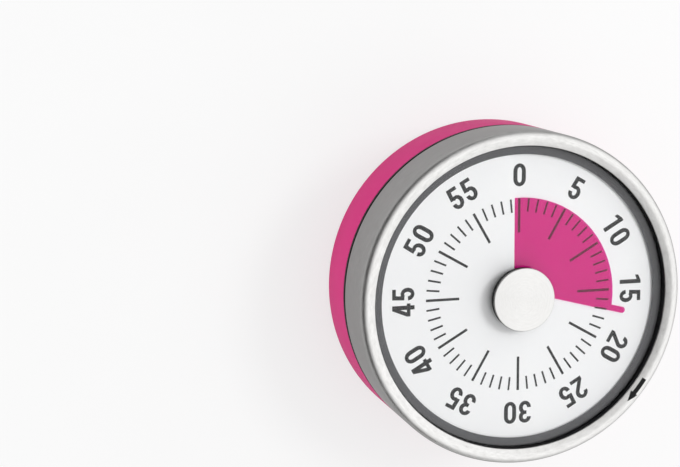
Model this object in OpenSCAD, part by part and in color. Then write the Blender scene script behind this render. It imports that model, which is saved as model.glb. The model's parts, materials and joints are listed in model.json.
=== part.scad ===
// Visual timer: a flat round wind-up timer whose coloured disc shrinks as the time runs off.
// It lies on its back: Z = 0 is the back face and +Z comes out of the dial.
// +Y points to 0 minutes and +X to 15 minutes, so a setting turns clockwise seen from the front.

/* [Case] */
// Diameter of the casing and of the base
body_d = 80; // [78:0.5:88]
// Height of the wall of the base that shows
base_h = 14.9; // [14.6:0.1:17]
// Wall of the base
base_wall = 2; // [1.6:0.1:2.6]
// Floor of the base
base_floor = 2.4; // [2.2:0.1:3]
// Rounding of the back edge of the base
base_edge = 1.2; // [0.4:0.1:1.6]
// Height of the spigot on which the casing turns
spigot_h = 3.5; // [2:0.1:5]
// Running gap between the base and the rear edge of the casing
ring_gap = 1.2; // [0.9:0.05:1.6]
// Radial clearance between the spigot and the casing
spigot_clear = 0.3; // [0.2:0.05:0.5]
// Height of the casing from its rear edge to its crest
casing_h = 14.2; // [13.9:0.1:16.6]
// Sheet thickness of the casing
steel_t = 0.5; // [0.4:0.05:0.7]
// Radius of the front shoulder of the casing
shoulder_r = 1.6; // [1.2:0.1:1.8]
// Width of the bezel, from the outside of the casing to its inner edge
bezel_w = 3.54; // [3.2:0.02:4.2]
// Drop of the bezel from its crest to its inner edge
bezel_drop = 0.72; // [0.5:0.02:0.96]
// Width of the lip turned down from the inner edge of the bezel
hem_w = 0.8; // [0.5:0.1:1]
// Height of that lip, from the bezel's inner edge down to the lens
lip_h = 1.23; // [1:0.01:1.45]

/* [Back] */
// Diameter of each magnet
magnet_d = 12; // [8:0.5:13]
// Thickness of each magnet
magnet_t = 2; // [1.5:0.1:2.5]
// Depth of each magnet below the back face
magnet_recess = 0.15; // [0.1:0.05:0.4]
// Radius of the circle of magnets
magnet_ring_r = 29.5; // [28:0.5:30]
// Width of each sound slot in the back
slot_w = 1.6; // [1:0.1:2.2]
// Length of each sound slot
slot_len = 7; // [4:0.5:9]
// Number of sound slots
slot_count = 12; // [6:1:16]

/* [Front] */
// Thickness of the clear lens
lens_t = 0.9; // [0.7:0.05:1.2]
// Gap between the lens and the colour disc at its highest
lens_gap = 0.19; // [0.15:0.01:0.4]
// Height of the retaining ring behind the lens
retainer_h = 1.55; // [1:0.05:2]
// Gap between the dial ring and the retaining ring
retainer_gap = 0.6; // [0.4:0.1:0.9]
// Width of the dial ring that shows
dial_ring_w = 1.85; // [1.4:0.05:2.4]
// Thickness of the dial
dial_t = 0.25; // [0.2:0.01:0.3]
// Thickness of the colour disc
film_t = 0.12; // [0.08:0.01:0.16]
// Rise of the dial and of the colour disc in one turn, at the slit between its lips
disc_pitch = 0.7; // [0.6:0.01:0.9]
// Radius of the colour disc
film_r = 23.9; // [20:0.1:24.5]
// Setting that the disc shows at rest, in degrees
rest_angle = 105; // [60:1:180]
// Distance of the slit, and of the disc's leading edge, from the radius that it follows
slit_offset = 1.5; // [0.8:0.1:1.9]
// Distance of the outer part of the slit from the same radius
slit_outer_offset = 2.8; // [2.4:0.1:3.2]
// Width of the pointer on the colour disc
pointer_w = 1.5; // [1:0.1:2]
// Distance from the centre to the tip of the pointer
pointer_r = 27.5; // [26:0.1:28.5]

/* [Knob] */
// Diameter of the knob's steel cap
knob_d = 15.26; // [12:0.02:18]
// Thickness of the cap
cap_t = 0.5; // [0.4:0.05:1]
// Height of the knob's core above the lens
core_h = 1.45; // [1:0.05:1.7]
// Overhang of the cap over the core
cap_overhang = 0.1; // [0.05:0.05:0.4]
// Radial wall of the lens around the knob's spigot that the core covers
core_seat = 0.4; // [0.3:0.1:0.8]

/* [Movement] */
// Height of the base posts under the rear plate
post_h = 7.1; // [6.8:0.1:7.4]
// Thickness of both plates
plate_t = 1; // [0.8:0.1:1.2]
// Diameter of the rear plate
rear_plate_d = 66; // [65:0.5:70]
// Diameter of the front plate
front_plate_d = 55; // [54:0.5:60]
// Radius of the circle of base posts
post_ring_r = 30.5; // [30:0.1:31]
// Diameter of the pillars between the plates
pillar_d = 3.6; // [3:0.1:4]
// Radius of the circle of pillars
pillar_ring_r = 24; // [23.5:0.1:25]
// Diameter of the main arbor
arbor_d = 5; // [4.6:0.1:5.4]
// Diameter of the wheel arbors
wheel_arbor_d = 2.2; // [1.8:0.1:2.4]
// Diameter of the pivots at the ends of the wheel arbors
pivot_d = 1.2; // [1:0.1:1.4]
// Radial clearance of a pivot in its hole
pivot_clear = 0.05; // [0.02:0.01:0.1]
// Module of the teeth of the main wheel
main_module = 0.5; // [0.48:0.01:0.51]
// Module of the teeth of the faster wheels
train_module = 0.4; // [0.38:0.01:0.41]
// Thickness of the wheels
wheel_t = 0.9; // [0.7:0.05:1]
// Height of the mainspring's strip
mainspring_h = 3.6; // [3:0.1:3.8]
// Thickness of the mainspring's strip
mainspring_t = 0.3; // [0.2:0.05:0.4]
// Outer radius of the mainspring
mainspring_r = 10.6; // [9:0.1:10.8]
// Outer radius of the escape wheel
escape_r = 5; // [4.5:0.1:5.2]
// Outer radius of the balance wheel
balance_r = 6.5; // [5:0.1:7]
// Largest radius of the strike cam
cam_r = 6; // [5:0.1:6.2]

/* [Bell] */
// Outer diameter of the bell
bell_d = 48; // [46:0.5:49]
// Wall of the bell
bell_t = 0.8; // [0.6:0.1:1]
// Height of the bell
bell_h = 4.5; // [4:0.1:4.7]
// Height of the boss under the bell
bell_boss_h = 1.6; // [1.5:0.1:1.8]
// Radius of the hammer's head
hammer_head_r = 1.5; // [1:0.1:1.8]
// Gap between the hammer's head and the bell at rest
strike_gap = 0.5; // [0.4:0.05:0.8]

/* [Hidden] */
$fn = 96;

// Colours
pink = [0.80, 0.28, 0.51];
steel = [0.80, 0.80, 0.78];
dark_steel = [0.55, 0.56, 0.58];
brass = [0.80, 0.66, 0.36];
black = [0.07, 0.07, 0.08];
dark_grey = [0.30, 0.30, 0.32];
white = [0.94, 0.94, 0.93];
clear = [0.85, 0.92, 0.95, 0.3];
film_pink = [0.80, 0.28, 0.51, 0.9];

// Fits that several pieces share
slip = 0.05;
press = 0.02;
cut = 0.5;
bar_step = 0.01;

// Case heights and radii, from the back
body_r = body_d / 2;
casing_z = base_h + ring_gap;
crest_z = casing_z + casing_h;
hem_top_z = crest_z - bezel_drop;
lens_top_z = hem_top_z - lip_h;
lens_z = lens_top_z - lens_t;
bezel_r = body_r - bezel_w;
casing_in_r = body_r - steel_t;
spigot_r = casing_in_r - spigot_clear;
base_in_r = body_r - base_wall;
base_top_edge = 0.15;
lens_edge_gap = 0.2;

// Magnets, their pads and the posts of the base
magnet_count = 3;
magnet_pad_wall = 1.5;
magnet_angles = [for (i = [0 : magnet_count - 1]) 90 + i * 360 / magnet_count];
magnet_pad_skin = 1.2;
magnet_pad_top = magnet_recess + magnet_t + magnet_pad_skin;
slot_start_r = 9;
post_r = 3;
post_count = 3;
post_angles = [for (i = [0 : post_count - 1]) 30 + i * 360 / post_count];
rear_z = base_floor + post_h;
rear_top = rear_z + plate_t;

// Dial: a sheet that climbs one pitch in a turn, from the low lip of its slit to the high lip
dial_z = lens_z - lens_gap - film_t / 2 - 1.5 * disc_pitch;
dial_ring_clear = 0.36;
dial_ring_r = bezel_r - dial_ring_clear;
dial_show_r = dial_ring_r - dial_ring_w;
dial_under_ring = 0.5;
dial_edge_gap = 0.2;
dial_ring_face = 0.1;
lens_run = 0.1;
dial_r = dial_show_r + dial_under_ring;
dial_hole_r = 5.6;
dial_lip_z = dial_z + disc_pitch + dial_t / 2 + press;
film_z = dial_z + disc_pitch / 2;
film_hole_r = 5;
film_seam = 2;
pointer_root = 2;
slit_step_gap = 0.7;
slit_step_r = film_r + slit_step_gap;
slit_step_w = 0.8;
sheet_steps = 72;

// Dial carrier
carrier_drop = 0.95;
carrier_t = 1.2;
carrier_top = dial_z - carrier_drop;
carrier_z = carrier_top - carrier_t;
carrier_hole_r = 9;
carrier_post_r = 2.4;
carrier_post_ring_r = 22;
carrier_post_angles = [45, 135, 255];
pad_count = 12;
pad_angle = 10;
pad_w = 2.4;

// Pillars and bushes
pillar_angles = [20, 100, 160, 345];
bush_r = 4;
bush_over = 0.35;

// Screws
screw_r = 1;
screw_head_r = 1.9;
screw_head_h = 1;
screw_slot_w = 0.5;
screw_slot_depth = 0.4;
screw_end_gap = 0.2;
head_gap = 0.1;
head_clear = 0.25;
post_hole_depth = 5;
pillar_hole_depth = 2.4;
knob_screw_len = 5;

// Main arbor and what rides on it, from the rear plate upwards
arbor_r = arbor_d / 2;
arbor_flat_depth = 0.5;
arbor_flat = arbor_r - arbor_flat_depth;
arbor_end_z = rear_z - bush_over;
collar_w = 0.9;
collar_r = arbor_r + collar_w;
spring_side_gap = 0.4;
collar_h = 0.45;
mainspring_z = rear_top + bush_over + slip + collar_h + spring_side_gap;
main_wheel_z = mainspring_z + mainspring_h + spring_side_gap + collar_h;
clutch_z = main_wheel_z + wheel_t;
clutch_spring_t = 0.4;
clutch_collar_h = 0.5;
clutch_ring_w = 1.5;
clutch_leaf_count = 3;
clutch_leaf_len = 4.5;
clutch_leaf_w = 2.2;
clutch_collar_w = 2;
cam_z = clutch_z + clutch_spring_t + clutch_collar_h;
cam_h = 1.3;
cam_notch_w = 1.6;
cam_notch_depth = 1.4;

// Knob
knob_r = knob_d / 2;
core_r = knob_r - cap_overhang;
core_spigot_r = core_r - core_seat;
core_top = lens_top_z + core_h;
cap_edge = 0.25;

// Hub of the colour disc
hub_bond = 0.1;
hub_r = film_hole_r - hub_bond;
hub_over = 0.05;
hub_top = film_z + disc_pitch * rest_angle / 360 + hub_over;
hub_h = 2;
hub_z = hub_top - hub_h;

// Wheel train: teeth, places and levels
wheel_arbor_r = wheel_arbor_d / 2;
pivot_r = pivot_d / 2;
pivot_hole_r = pivot_r + pivot_clear;
main_teeth = 60;
train_teeth = 50;
pinion_teeth = 10;
escape_teeth = 20;
wheel_addendum = 0.6;
pinion_addendum = 0.9;
dedendum = 1.1;
tooth_gap = 0.06;
pressure_angle = 20;
boss_w = 1;
pinion_over = 0.4;
pinion_h = wheel_t + 2 * pinion_over;
window_count = 6;
window_place = 0.5;
window_size = 0.24;
second_dist = main_module * (main_teeth + pinion_teeth) / 2;
train_dist = train_module * (train_teeth + pinion_teeth) / 2;
second_dir = 210;
third_dir = 292.3;
escape_dir = 347.4;
second_pos = polar(second_dist, second_dir);
third_pos = second_pos + polar(train_dist, third_dir);
escape_pos = third_pos + polar(train_dist, escape_dir);
second_wheel_rise = 1.1;
third_wheel_drop = 1.4;
escape_wheel_rise = 0.9;
second_wheel_z = main_wheel_z + wheel_t + second_wheel_rise;
third_wheel_z = main_wheel_z - third_wheel_drop - wheel_t;
escape_wheel_z = main_wheel_z + wheel_t + escape_wheel_rise;

// Front plate above the highest pinion, and the posts from it to the dial carrier
front_clear = 1;
front_z = second_wheel_z + wheel_t + pinion_over + front_clear;
front_top = front_z + plate_t;
plate_gap = front_z - rear_top;
carrier_post_h = carrier_z - front_top;
carrier_screw_len = carrier_t + carrier_post_h - screw_head_h - screw_end_gap;

// Escapement
escape_tooth = 1.2;
escape_window_r = 0.8;
escape_window_count = 4;
escape_window_ring_r = (escape_r - escape_tooth + wheel_arbor_r) / 2;
escape_lead = 0.55;
escape_land = 0.1;
escape_back = 0.15;
pallet_dir = 7.6;
pallet_dist = 7.36;
pallet_pos = escape_pos + polar(pallet_dist, pallet_dir);
pin_r = 0.4;
pin_over = 0.1;
pin_clear = 0.8;
pin_dist = escape_r + pin_clear;
pin_spread = 40;
pallet_pin_places = [for (s = [-1, 1]) escape_pos + polar(pin_dist, pallet_dir + s * pin_spread)];
pallet_t = 0.7;
pallet_arm_w = 1.4;
fork_w = 1.2;
prong_w = 0.6;
level_gap = 0.25;
pallet_z = escape_wheel_z - level_gap - pallet_t;
fork_dir = 28.8;
fork_len = 7;
fork_prong = 1.4;
fork_spread = 6;
balance_dist = 10.4;
balance_pos = pallet_pos + polar(balance_dist, fork_dir);
balance_rise = 1.4;
balance_z = rear_top + balance_rise;
balance_rim_w = 0.9;
balance_arm_w = 1.2;
balance_arm = balance_r - balance_arm_w / 2;
roller_r = 2.6;
roller_t = 0.6;
impulse_pin_h = 0.5;
impulse_pin_r = 0.35;
impulse_pin_in = 0.6;
roller_z = pallet_z - level_gap - impulse_pin_h - roller_t;
hairspring_rise = 0.7;
hairspring_z = balance_z + wheel_t + hairspring_rise;
hairspring_h = 0.4;
hairspring_t = 0.15;
hairspring_r = 4.4;
hairspring_turns = 5;
hair_stud_dir = 30;
hair_stud_r = 0.6;
hair_stud_pos = balance_pos + polar(hairspring_r + hair_stud_r + slip, hair_stud_dir);

// Mainspring and its stud
mainspring_turns = 6;
spiral_steps = 32;
spring_stud_dir = 60;
spring_stud_r = 0.8;
spring_stud_pos = polar(mainspring_r + spring_stud_r + slip, spring_stud_dir);

// Bell and hammer
bell_r = bell_d / 2;
bell_z = base_floor + bell_boss_h;
bell_in_r = bell_r - bell_t;
bell_boss_r = 4;
bell_corner = 1.2;
bell_hole_depth = 2.6;
hammer_dist = 20;
hammer_dir = 60;
hammer_pos = polar(hammer_dist, hammer_dir);
hammer_arm_t = 1.2;
hammer_arm_w = 2.4;
hammer_rise = 0.5;
hammer_arm_z = rear_top + hammer_rise;
hammer_strike_dir = 8;
hammer_head_pos = polar(bell_in_r - strike_gap - hammer_head_r, hammer_strike_dir);
hammer_stem_r = 0.7;
hammer_head_h = 2.4;
hammer_head_drop = 0.4;
hammer_head_z = bell_z + bell_h - hammer_head_h - hammer_head_drop;
hammer_slot_w = 3.4;
hammer_slot_len = 6.4;
tail_w = 1.6;
tail_t = 0.9;
tail_rise = 0.2;
tail_z = cam_z + tail_rise;
tail_gap = 0.3;
tail_dir = 100;
tail_tip = polar(cam_r + tail_gap + tail_w / 2, tail_dir);
leaf_t = 0.25;
leaf_touch = 0.55;
leaf_pillar = polar(pillar_ring_r, pillar_angles[1]);

// Point at a distance and a direction, counter-clockwise from +X
function polar(r, a) = [r * cos(a), r * sin(a)];

// Point at a radius and a clockwise angle from 0 minutes
function dial_point(r, a) = [r * sin(a), r * cos(a)];

// Direction from one point to another
function direction(a, b) = atan2(b[1] - a[1], b[0] - a[0]);

// Angle that an involute has unwound at a pressure angle, in degrees
function involute(a) = tan(a) * 180 / PI - a;

// Half the angle of a tooth at a radius, for teeth thinned by tooth_gap
function tooth_half(n, m, r) =
    let (pitch_r = n * m / 2, base_r = pitch_r * cos(pressure_angle))
    90 / n - tooth_gap / pitch_r * 180 / PI
    + involute(pressure_angle) - involute(acos(min(1, base_r / r)));

// Outline of a spur gear with a tooth centred on +X
function gear_points(n, m, addendum) =
    let (
        pitch_r = n * m / 2,
        base_r = pitch_r * cos(pressure_angle),
        root_r = pitch_r - dedendum * m,
        tip_r = pitch_r + addendum * m,
        flank = [max(base_r, root_r), pitch_r, tip_r],
        foot = tooth_half(n, m, flank[0])
    )
    [for (i = [0 : n - 1], p = concat(
        [[root_r, -foot]],
        [for (r = flank) [r, -tooth_half(n, m, r)]],
        [for (k = [2 : -1 : 0]) [flank[k], tooth_half(n, m, flank[k])]],
        [[root_r, foot]]
    )) polar(p[0], p[1] + i * 360 / n)];

// Outline of a flat spiral strip from r0 to r1 that ends at the direction end_dir
function spiral_points(r0, r1, turns, t, end_dir) =
    let (
        steps = turns * spiral_steps,
        r = function(i) r0 + (r1 - r0) * i / steps,
        a = function(i) end_dir - turns * 360 * (1 - i / steps)
    )
    concat(
        [for (i = [0 : steps]) polar(r(i) + t / 2, a(i))],
        [for (i = [steps : -1 : 0]) polar(r(i) - t / 2, a(i))]
    );

// Sheet that climbs disc_pitch in a turn: rows of radius and first clockwise angle, over a span of degrees
module climbing_sheet(rows, span, z, t) {
    last = len(rows) - 1;
    count = len(rows);
    angle = function(i, k) rows[k][1] + span * i / sheet_steps;
    at = function(i, k, top) 2 * (i * count + k) + top;
    points = [for (i = [0 : sheet_steps], k = [0 : last], side = [-1, 1])
        let (p = dial_point(rows[k][0], angle(i, k)))
        [p[0], p[1], z + disc_pitch * angle(i, k) / 360 + side * t / 2]];
    faces = concat(
        [for (i = [0 : sheet_steps - 1], k = [0 : last - 1], f = [
            [at(i, k, 1), at(i, k + 1, 1), at(i + 1, k + 1, 1)],
            [at(i, k, 1), at(i + 1, k + 1, 1), at(i + 1, k, 1)],
            [at(i, k, 0), at(i + 1, k + 1, 0), at(i, k + 1, 0)],
            [at(i, k, 0), at(i + 1, k, 0), at(i + 1, k + 1, 0)]
        ]) f],
        [for (i = [0 : sheet_steps - 1], f = [
            [at(i, 0, 0), at(i, 0, 1), at(i + 1, 0, 1)],
            [at(i, 0, 0), at(i + 1, 0, 1), at(i + 1, 0, 0)],
            [at(i + 1, last, 0), at(i + 1, last, 1), at(i, last, 1)],
            [at(i + 1, last, 0), at(i, last, 1), at(i, last, 0)]
        ]) f],
        [for (k = [0 : last - 1], f = [
            [at(0, k + 1, 0), at(0, k + 1, 1), at(0, k, 1)],
            [at(0, k + 1, 0), at(0, k, 1), at(0, k, 0)],
            [at(sheet_steps, k, 0), at(sheet_steps, k, 1), at(sheet_steps, k + 1, 1)],
            [at(sheet_steps, k, 0), at(sheet_steps, k + 1, 1), at(sheet_steps, k + 1, 0)]
        ]) f]
    );
    polyhedron(points, faces);
}

// Disc or ring between two heights
module ring(r_out, r_in, z0, z1) {
    translate([0, 0, z0])
        difference() {
            cylinder(r = r_out, h = z1 - z0);
            translate([0, 0, -cut])
                cylinder(r = r_in, h = z1 - z0 + 2 * cut);
        }
}

// Flat bar between two points, with round ends that stand a hair proud of its straight sides
module bar(a, b, w) {
    straight_w = w - 2 * bar_step;
    translate(a)
        circle(d = w);
    translate(b)
        circle(d = w);
    translate(a)
        rotate(direction(a, b))
            translate([0, -straight_w / 2])
                square([norm(b - a), straight_w]);
}

// Slotted screw whose head sits on z, with its shank below
module screw(z, shank) {
    difference() {
        union() {
            translate([0, 0, z])
                cylinder(r = screw_head_r, h = screw_head_h);
            translate([0, 0, z - shank])
                cylinder(r = screw_r, h = shank + screw_head_h / 2);
        }
        translate([-screw_head_r - cut, -screw_slot_w / 2, z + screw_head_h - screw_slot_depth])
            cube([2 * (screw_head_r + cut), screw_slot_w, screw_slot_depth + cut]);
    }
}

// Gear between two heights, bored to the radius of its arbor
module gear(n, m, addendum, z, h, bore_r) {
    translate([0, 0, z])
        difference() {
            linear_extrude(h)
                polygon(gear_points(n, m, addendum));
            translate([0, 0, -cut])
                cylinder(r = bore_r, h = h + 2 * cut);
        }
}

// Crossed-out train wheel: a gear with a ring of round windows
module train_wheel(n, m, z, bore_r) {
    pitch_r = n * m / 2;
    window_ring_r = (pitch_r + bore_r) * window_place;
    window_r = (pitch_r - bore_r) * window_size;
    difference() {
        gear(n, m, wheel_addendum, z, wheel_t, bore_r);
        for (i = [0 : window_count - 1])
            translate(concat(polar(window_ring_r, (i + 0.5) * 360 / window_count), z - cut))
                cylinder(r = window_r, h = wheel_t + 2 * cut);
    }
}

// Arbor between the plates, with a pivot in each of them
module wheel_arbor() {
    translate([0, 0, rear_top + slip])
        cylinder(r = wheel_arbor_r, h = plate_gap - 2 * slip);
    translate([0, 0, rear_z])
        cylinder(r = pivot_r, h = front_top - rear_z);
}

// Arbor with its pinion cut on it, for a wheel at wheel_z that lies back along dir and has a tooth there
module pinion_arbor(m, wheel_z, dir) {
    union() {
        wheel_arbor();
        rotate(dir + 180 + 180 / pinion_teeth)
            translate([0, 0, wheel_z - pinion_over])
                linear_extrude(pinion_h)
                    polygon(gear_points(pinion_teeth, m, pinion_addendum));
    }
}

// Holes for the pivots of every arbor, through a plate at z
module pivot_holes(z) {
    for (p = [second_pos, third_pos, escape_pos, pallet_pos, balance_pos, hammer_pos])
        translate([p[0], p[1], z - cut])
            cylinder(r = pivot_hole_r, h = plate_t + 2 * cut);
}

// Holes for the pillar screws, through a plate at z
module pillar_holes(z) {
    for (a = pillar_angles)
        translate(concat(polar(pillar_ring_r, a), z - cut))
            cylinder(r = screw_r + slip, h = plate_t + 2 * cut);
}

module base_cover() {
    color(pink)
        difference() {
            union() {
                rotate_extrude()
                    difference() {
                        union() {
                            translate([0, base_edge])
                                square([body_r, base_h - base_edge - base_top_edge]);
                            square([body_r - base_edge, base_h]);
                            translate([body_r - base_edge, base_edge])
                                circle(r = base_edge);
                            translate([0, base_h - base_top_edge - cut])
                                square([body_r - base_top_edge, base_top_edge + cut]);
                            translate([body_r - base_top_edge, base_h - base_top_edge])
                                circle(r = base_top_edge);
                            square([spigot_r, base_h + spigot_h]);
                        }
                        translate([-cut, base_floor])
                            square([base_in_r + cut, base_h + spigot_h]);
                        translate([-2 * body_r, -cut])
                            square([2 * body_r, base_h + spigot_h + 2 * cut]);
                    }
                for (a = magnet_angles)
                    translate(concat(polar(magnet_ring_r, a), base_floor - cut))
                        cylinder(r = magnet_d / 2 + magnet_pad_wall, h = magnet_pad_top - base_floor + cut);
                for (a = post_angles)
                    translate(concat(polar(post_ring_r, a), base_floor - cut))
                        cylinder(r = post_r, h = post_h + cut);
                translate([0, 0, base_floor - cut])
                    cylinder(r = bell_boss_r, h = bell_boss_h + cut);
            }
            for (a = magnet_angles)
                translate(concat(polar(magnet_ring_r, a), -cut))
                    cylinder(r = magnet_d / 2 + slip, h = magnet_recess + magnet_t + cut);
            for (a = post_angles)
                translate(concat(polar(post_ring_r, a), rear_z - post_hole_depth))
                    cylinder(r = screw_r + slip, h = post_hole_depth + cut);
            translate([0, 0, bell_z - bell_hole_depth])
                cylinder(r = screw_r + slip, h = bell_hole_depth + cut);
            for (i = [0 : slot_count - 1])
                rotate(i * 360 / slot_count)
                    translate([slot_start_r, -slot_w / 2, -cut])
                        cube([slot_len, slot_w, base_floor + 2 * cut]);
        }
}

module magnets() {
    color(dark_steel)
        for (a = magnet_angles)
            translate(concat(polar(magnet_ring_r, a), magnet_recess))
                cylinder(d = magnet_d, h = magnet_t);
}

module bell() {
    color(steel)
        rotate_extrude()
            polygon([
                [screw_r + slip, bell_z],
                [bell_r - bell_corner, bell_z],
                [bell_r, bell_z + bell_corner],
                [bell_r, bell_z + bell_h],
                [bell_in_r, bell_z + bell_h],
                [bell_in_r, bell_z + bell_corner + bell_t / 3],
                [bell_r - bell_corner - bell_t / 3, bell_z + bell_t],
                [screw_r + slip, bell_z + bell_t]
            ]);
}

module bell_screw() {
    color(dark_steel)
        screw(bell_z + bell_t, bell_t + bell_hole_depth - screw_end_gap);
}

module rear_plate() {
    color(brass)
        difference() {
            ring(rear_plate_d / 2, bush_r + press, rear_z, rear_top);
            pivot_holes(rear_z);
            pillar_holes(rear_z);
            for (a = post_angles)
                translate(concat(polar(post_ring_r, a), rear_z - cut))
                    cylinder(r = screw_r + slip, h = plate_t + 2 * cut);
            translate(concat(spring_stud_pos, rear_z - cut))
                cylinder(r = spring_stud_r / 2 + press, h = plate_t + 2 * cut);
            translate(concat(hammer_head_pos, rear_z - cut))
                rotate(direction(hammer_pos, hammer_head_pos) - 90)
                    translate([-hammer_slot_w / 2, -hammer_slot_w / 2, 0])
                        cube([hammer_slot_len, hammer_slot_w, plate_t + 2 * cut]);
        }
}

module front_plate() {
    color(brass)
        difference() {
            union() {
                ring(front_plate_d / 2, bush_r + press, front_z, front_top);
                for (a = carrier_post_angles)
                    translate(concat(polar(carrier_post_ring_r, a), front_top - cut))
                        cylinder(r = carrier_post_r, h = carrier_post_h + cut);
            }
            pivot_holes(front_z);
            pillar_holes(front_z);
            translate(concat(hair_stud_pos, front_z - cut))
                cylinder(r = hair_stud_r + press, h = plate_t + 2 * cut);
            for (a = carrier_post_angles)
                translate(concat(polar(carrier_post_ring_r, a), front_top))
                    cylinder(r = screw_r + slip, h = carrier_post_h + cut);
        }
}

module plate_pillars() {
    color(dark_steel)
        for (a = pillar_angles)
            translate(concat(polar(pillar_ring_r, a), 0))
                difference() {
                    translate([0, 0, rear_top])
                        cylinder(d = pillar_d, h = plate_gap);
                    for (z = [rear_top - cut, front_z - pillar_hole_depth])
                        translate([0, 0, z])
                            cylinder(r = screw_r + slip, h = pillar_hole_depth + cut);
                }
}

module pillar_screws() {
    color(dark_steel)
        for (a = pillar_angles)
            translate(concat(polar(pillar_ring_r, a), 0)) {
                screw(front_top, plate_t + pillar_hole_depth - screw_end_gap);
                translate([0, 0, 2 * rear_z])
                    mirror([0, 0, 1])
                        screw(rear_z, plate_t + pillar_hole_depth - screw_end_gap);
            }
}

module plate_screws() {
    color(dark_steel)
        for (a = post_angles)
            translate(concat(polar(post_ring_r, a), 0))
                screw(rear_top, plate_t + post_hole_depth - screw_end_gap);
}

module rear_bush() {
    color(brass)
        ring(bush_r, arbor_r + slip, rear_z - bush_over, rear_top + bush_over);
}

module front_bush() {
    color(brass)
        ring(bush_r, arbor_r + slip, front_z, front_top + bush_over);
}

module dial_carrier() {
    color(dark_grey)
        difference() {
            union() {
                ring(dial_ring_r, carrier_hole_r, carrier_z, carrier_top);
                for (i = [0 : pad_count - 1]) {
                    first = (i + 0.5) * 360 / pad_count - pad_angle / 2;
                    pad_top = dial_z + disc_pitch * first / 360 - dial_t / 2 - press;
                    rotate(90 - first - pad_angle)
                        rotate_extrude(angle = pad_angle)
                            translate([dial_r - pad_w, carrier_top - cut])
                                square([pad_w, pad_top - carrier_top + cut]);
                }
            }
            for (a = carrier_post_angles)
                translate(concat(polar(carrier_post_ring_r, a), carrier_z - cut))
                    cylinder(r = screw_r + slip, h = carrier_t + 2 * cut);
            for (a = carrier_post_angles)
                translate(concat(polar(carrier_post_ring_r, a), carrier_top - screw_head_h - slip))
                    cylinder(r = screw_head_r + head_clear, h = screw_head_h + cut);
        }
}

module carrier_screws() {
    color(dark_steel)
        for (a = carrier_post_angles)
            translate(concat(polar(carrier_post_ring_r, a), 0))
                screw(carrier_top - screw_head_h - slip, carrier_screw_len);
}

module dial_ring() {
    color(dark_grey)
        rotate_extrude()
            polygon([
                [dial_show_r, dial_lip_z],
                [dial_show_r, dial_lip_z + dial_ring_face],
                [dial_ring_r, lens_z - lens_run],
                [dial_ring_r, carrier_top],
                [dial_r + dial_edge_gap, carrier_top],
                [dial_r + dial_edge_gap, dial_lip_z]
            ]);
}

module dial() {
    rows = [
        [dial_hole_r, slit_offset],
        [slit_step_r, slit_offset],
        [slit_step_r + slit_step_w, slit_outer_offset],
        [dial_r, slit_outer_offset]
    ];
    color(white)
        climbing_sheet([for (row = rows) [row[0], -asin(row[1] / row[0])]], 360, dial_z, dial_t);
}

module spring_stud() {
    color(dark_steel)
        translate(concat(spring_stud_pos, 0)) {
            translate([0, 0, rear_top])
                cylinder(r = spring_stud_r, h = mainspring_z + mainspring_h - rear_top);
            translate([0, 0, rear_z])
                cylinder(r = spring_stud_r / 2, h = plate_t + cut);
        }
}

module mainspring() {
    color(dark_steel)
        translate([0, 0, mainspring_z])
            linear_extrude(mainspring_h)
                polygon(spiral_points(
                    arbor_r + slip + mainspring_t / 2,
                    mainspring_r - mainspring_t / 2,
                    mainspring_turns, mainspring_t, spring_stud_dir
                ));
}

module hairspring() {
    color(dark_steel)
        translate(concat(balance_pos, hairspring_z))
            linear_extrude(hairspring_h)
                polygon(spiral_points(
                    wheel_arbor_r + slip + hairspring_t / 2,
                    hairspring_r - hairspring_t / 2,
                    hairspring_turns, hairspring_t, hair_stud_dir
                ));
}

module hairspring_stud() {
    color(brass)
        translate(concat(hair_stud_pos, hairspring_z))
            cylinder(r = hair_stud_r, h = front_top - hairspring_z);
}

module hammer_spring() {
    touch = hammer_pos + leaf_touch * (tail_tip - hammer_pos);
    side = direction(hammer_pos, tail_tip) - 90;
    tip = touch + polar(tail_w / 2 + leaf_t / 2 + slip, side);
    root = leaf_pillar + polar(pillar_d / 2 + slip + leaf_t / 2, direction(leaf_pillar, tip) + 90);
    color(dark_steel)
        translate([0, 0, tail_z])
            linear_extrude(tail_t)
                difference() {
                    union() {
                        translate(leaf_pillar)
                            circle(r = pillar_d / 2 + slip + leaf_t);
                        bar(root, tip, leaf_t);
                    }
                    translate(leaf_pillar)
                        circle(r = pillar_d / 2 + slip);
                }
}

module casing() {
    corner_r = body_r - shoulder_r;
    corner_z = crest_z - shoulder_r;
    to_corner = [corner_r - bezel_r, corner_z - hem_top_z];
    tilt = asin(shoulder_r / norm(to_corner)) + atan2(to_corner[1], to_corner[0]);
    slope = [-sin(tilt), cos(tilt)];
    under_z = hem_top_z + hem_w * tan(tilt) - steel_t / cos(tilt);
    color(steel)
        difference() {
            union() {
                rotate_extrude()
                    polygon([
                        [bezel_r, casing_z],
                        [bezel_r, hem_top_z],
                        [corner_r, corner_z] + shoulder_r * slope,
                        [corner_r, corner_z],
                        [body_r, corner_z],
                        [body_r, casing_z]
                    ]);
                rotate_extrude()
                    translate([corner_r, corner_z])
                        circle(r = shoulder_r);
            }
            rotate_extrude()
                polygon([
                    [bezel_r - cut, casing_z - cut],
                    [bezel_r - cut, lens_top_z],
                    [bezel_r + hem_w, lens_top_z],
                    [bezel_r + hem_w, under_z],
                    [corner_r, corner_z] + (shoulder_r - steel_t) * slope,
                    [corner_r, corner_z],
                    [casing_in_r, corner_z],
                    [casing_in_r, casing_z - cut]
                ]);
            rotate_extrude()
                translate([corner_r, corner_z])
                    circle(r = shoulder_r - steel_t);
        }
}

module lens() {
    color(clear)
        ring(casing_in_r - lens_edge_gap, core_spigot_r + slip, lens_z, lens_top_z);
}

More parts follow.
